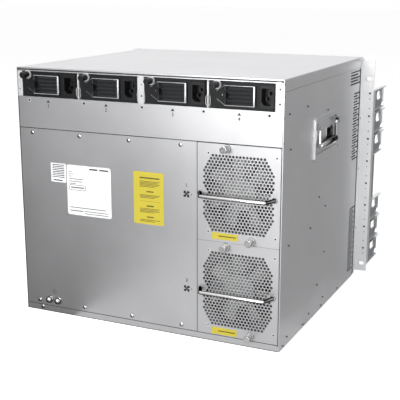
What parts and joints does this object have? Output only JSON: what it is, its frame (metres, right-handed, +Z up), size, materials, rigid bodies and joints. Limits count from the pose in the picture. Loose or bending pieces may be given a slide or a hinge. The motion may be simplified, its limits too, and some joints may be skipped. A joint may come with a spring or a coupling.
{
  "type": "modular chassis switch",
  "caption": "Rack-mounted modular chassis switch with power supplies and fan trays at the rear, side handles and cable guides in front.",
  "frame": {"origin": "centre of the chassis body's underside", "axes": "+Z up; -Y out of the front, where the cards and rack ears are; +Y out of the rear, where the power supplies and fan trays are; +X to the right as seen from the front"},
  "size_m": [0.4826, 0.53, 0.397],
  "materials": {
    "painted_sheet": "satin grey",
    "bright_sheet": "satin",
    "guide_sheet": "satin grey",
    "spring_steel": "bright",
    "circuit_board": "green solder mask",
    "guide_plastic": "dark moulded",
    "polished_rod": "polished",
    "fan_plastic": "black moulded",
    "thumbscrew_steel": "satin",
    "black_sheet": "black matt",
    "black_plastic": "black"
  },
  "bodies": {
    "chassis": {"base_pan": "painted_sheet", "side_panel_left": "painted_sheet", "side_panel_right": "painted_sheet", "top_cover": "painted_sheet", "front_top_panel": "painted_sheet", "rear_upper_panel": "painted_sheet", "rear_cover_plate": "painted_sheet", "power_bay_floor": "painted_sheet", "power_bay_roof": "painted_sheet", "power_bay_dividers": "painted_sheet", "power_bay_clips": "spring_steel", "power_backplane": "circuit_board", "backplane": "circuit_board", "fan_bay_wall": "painted_sheet", "fan_bay_shelf": "painted_sheet", "card_guides": "guide_plastic", "slot_fillers": "bright_sheet", "rear_screws": "spring_steel", "rack_ear_left": "bright_sheet", "rack_ear_right": "bright_sheet", "cable_guide_left": "guide_sheet", "cable_guide_right": "guide_sheet", "handle_plate_left": "bright_sheet", "handle_plate_right": "bright_sheet"},
    "drop_handle_left": {"drop_handle_left": "polished_rod"},
    "drop_handle_right": {"drop_handle_right": "polished_rod"},
    "fan_tray_2": {"fan_tray_2": "painted_sheet", "fan_housing_2": "fan_plastic", "fan_handle_2": "polished_rod"},
    "fan_rotor_2": {"fan_rotor_2": "fan_plastic"},
    "fan_thumbscrew_upper_2": {"fan_thumbscrew_upper_2": "thumbscrew_steel"},
    "fan_thumbscrew_lower_2": {"fan_thumbscrew_lower_2": "thumbscrew_steel"},
    "fan_tray_1": {"fan_tray_1": "painted_sheet", "fan_housing_1": "fan_plastic", "fan_handle_1": "polished_rod"},
    "fan_rotor_1": {"fan_rotor_1": "fan_plastic"},
    "fan_thumbscrew_upper_1": {"fan_thumbscrew_upper_1": "thumbscrew_steel"},
    "fan_thumbscrew_lower_1": {"fan_thumbscrew_lower_1": "thumbscrew_steel"},
    "power_supply_1": {"power_case_1": "black_sheet", "power_inlet_1": "black_plastic"},
    "power_handle_1": {"power_handle_1": "polished_rod"},
    "power_knob_1": {"power_knob_1": "black_plastic"},
    "power_supply_2": {"power_case_2": "black_sheet", "power_inlet_2": "black_plastic"},
    "power_handle_2": {"power_handle_2": "polished_rod"},
    "power_knob_2": {"power_knob_2": "black_plastic"},
    "power_supply_3": {"power_case_3": "black_sheet", "power_inlet_3": "black_plastic"},
    "power_handle_3": {"power_handle_3": "polished_rod"},
    "power_knob_3": {"power_knob_3": "black_plastic"},
    "power_supply_4": {"power_case_4": "black_sheet", "power_inlet_4": "black_plastic"},
    "power_handle_4": {"power_handle_4": "polished_rod"},
    "power_knob_4": {"power_knob_4": "black_plastic"},
    "control_card_1": {"control_card_1": "bright_sheet"},
    "card_lever_left_1": {"card_lever_left_1": "black_plastic"},
    "card_lever_right_1": {"card_lever_right_1": "black_plastic"},
    "control_card_2": {"control_card_2": "bright_sheet"},
    "card_lever_left_2": {"card_lever_left_2": "black_plastic"},
    "card_lever_right_2": {"card_lever_right_2": "black_plastic"}
  },
  "joints": [
    {"name": "drop_handle_left_swing", "type": "hinge", "parent": "chassis", "child": "drop_handle_left", "pos_m": [-0.2262, 0.011, 0.311], "axis": [0, 1, 0], "range_deg": [0, 90]},
    {"name": "drop_handle_right_swing", "type": "hinge", "parent": "chassis", "child": "drop_handle_right", "pos_m": [0.2262, 0.011, 0.311], "axis": [0, -1, 0], "range_deg": [0, 90]},
    {"name": "fan_tray_2_slide", "type": "slide", "parent": "chassis", "child": "fan_tray_2", "axis": [0, 1, 0], "range_m": [0, 0.1]},
    {"name": "fan_rotor_2_spin", "type": "hinge", "parent": "fan_tray_2", "child": "fan_rotor_2", "pos_m": [-0.1541, 0.1645, 0.08347], "axis": [0, 1, 0], "continuous": true},
    {"name": "fan_thumbscrew_upper_2_turn", "type": "hinge", "parent": "fan_tray_2", "child": "fan_thumbscrew_upper_2", "pos_m": [-0.1362, 0.204, 0.14985], "axis": [0, 1, 0], "range_deg": [0, 1080]},
    {"name": "fan_thumbscrew_lower_2_turn", "type": "hinge", "parent": "fan_tray_2", "child": "fan_thumbscrew_lower_2", "pos_m": [-0.1755, 0.204, 0.0171], "axis": [0, 1, 0], "range_deg": [0, 1080]},
    {"name": "fan_tray_1_slide", "type": "slide", "parent": "chassis", "child": "fan_tray_1", "axis": [0, 1, 0], "range_m": [0, 0.1]},
    {"name": "fan_rotor_1_spin", "type": "hinge", "parent": "fan_tray_1", "child": "fan_rotor_1", "pos_m": [-0.1541, 0.1645, 0.22903], "axis": [0, 1, 0], "continuous": true},
    {"name": "fan_thumbscrew_upper_1_turn", "type": "hinge", "parent": "fan_tray_1", "child": "fan_thumbscrew_upper_1", "pos_m": [-0.1362, 0.204, 0.2954], "axis": [0, 1, 0], "range_deg": [0, 1080]},
    {"name": "fan_thumbscrew_lower_1_turn", "type": "hinge", "parent": "fan_tray_1", "child": "fan_thumbscrew_lower_1", "pos_m": [-0.1755, 0.204, 0.16265], "axis": [0, 1, 0], "range_deg": [0, 1080]},
    {"name": "power_supply_1_slide", "type": "slide", "parent": "chassis", "child": "power_supply_1", "axis": [0, 1, 0], "range_m": [0, 0.2]},
    {"name": "power_handle_1_swing", "type": "hinge", "parent": "power_supply_1", "child": "power_handle_1", "pos_m": [0.1864, 0.2082, 0.37175], "axis": [0, 0, -1], "range_deg": [0, 90]},
    {"name": "power_knob_1_turn", "type": "hinge", "parent": "power_supply_1", "child": "power_knob_1", "pos_m": [0.1999, 0.204, 0.3862], "axis": [0, 1, 0], "range_deg": [0, 1080]},
    {"name": "power_supply_2_slide", "type": "slide", "parent": "chassis", "child": "power_supply_2", "axis": [0, 1, 0], "range_m": [0, 0.2]},
    {"name": "power_handle_2_swing", "type": "hinge", "parent": "power_supply_2", "child": "power_handle_2", "pos_m": [0.0812, 0.2082, 0.37175], "axis": [0, 0, -1], "range_deg": [0, 90]},
    {"name": "power_knob_2_turn", "type": "hinge", "parent": "power_supply_2", "child": "power_knob_2", "pos_m": [0.0947, 0.204, 0.3862], "axis": [0, 1, 0], "range_deg": [0, 1080]},
    {"name": "power_supply_3_slide", "type": "slide", "parent": "chassis", "child": "power_supply_3", "axis": [0, 1, 0], "range_m": [0, 0.2]},
    {"name": "power_handle_3_swing", "type": "hinge", "parent": "power_supply_3", "child": "power_handle_3", "pos_m": [-0.0293, 0.2082, 0.37175], "axis": [0, 0, -1], "range_deg": [0, 90]},
    {"name": "power_knob_3_turn", "type": "hinge", "parent": "power_supply_3", "child": "power_knob_3", "pos_m": [-0.0158, 0.204, 0.3862], "axis": [0, 1, 0], "range_deg": [0, 1080]},
    {"name": "power_supply_4_slide", "type": "slide", "parent": "chassis", "child": "power_supply_4", "axis": [0, 1, 0], "range_m": [0, 0.2]},
    {"name": "power_handle_4_swing", "type": "hinge", "parent": "power_supply_4", "child": "power_handle_4", "pos_m": [-0.1345, 0.2082, 0.37175], "axis": [0, 0, -1], "range_deg": [0, 90]},
    {"name": "power_knob_4_turn", "type": "hinge", "parent": "power_supply_4", "child": "power_knob_4", "pos_m": [-0.121, 0.204, 0.3862], "axis": [0, 1, 0], "range_deg": [0, 1080]},
    {"name": "control_card_1_slide", "type": "slide", "parent": "chassis", "child": "control_card_1", "axis": [0, -1, 0], "range_m": [0, 0.25]},
    {"name": "card_lever_left_1_swing", "type": "hinge", "parent": "control_card_1", "child": "card_lever_left_1", "pos_m": [-0.2079, -0.209, 0.16912], "axis": [0, 0, -1], "range_deg": [0, 70]},
    {"name": "card_lever_right_1_swing", "type": "hinge", "parent": "control_card_1", "child": "card_lever_right_1", "pos_m": [0.2079, -0.209, 0.16912], "axis": [0, 0, 1], "range_deg": [0, 70]},
    {"name": "control_card_2_slide", "type": "slide", "parent": "chassis", "child": "control_card_2", "axis": [0, -1, 0], "range_m": [0, 0.25]},
    {"name": "card_lever_left_2_swing", "type": "hinge", "parent": "control_card_2", "child": "card_lever_left_2", "pos_m": [-0.2079, -0.209, 0.20976], "axis": [0, 0, -1], "range_deg": [0, 70]},
    {"name": "card_lever_right_2_swing", "type": "hinge", "parent": "control_card_2", "child": "card_lever_right_2", "pos_m": [0.2079, -0.209, 0.20976], "axis": [0, 0, 1], "range_deg": [0, 70]}
  ]
}
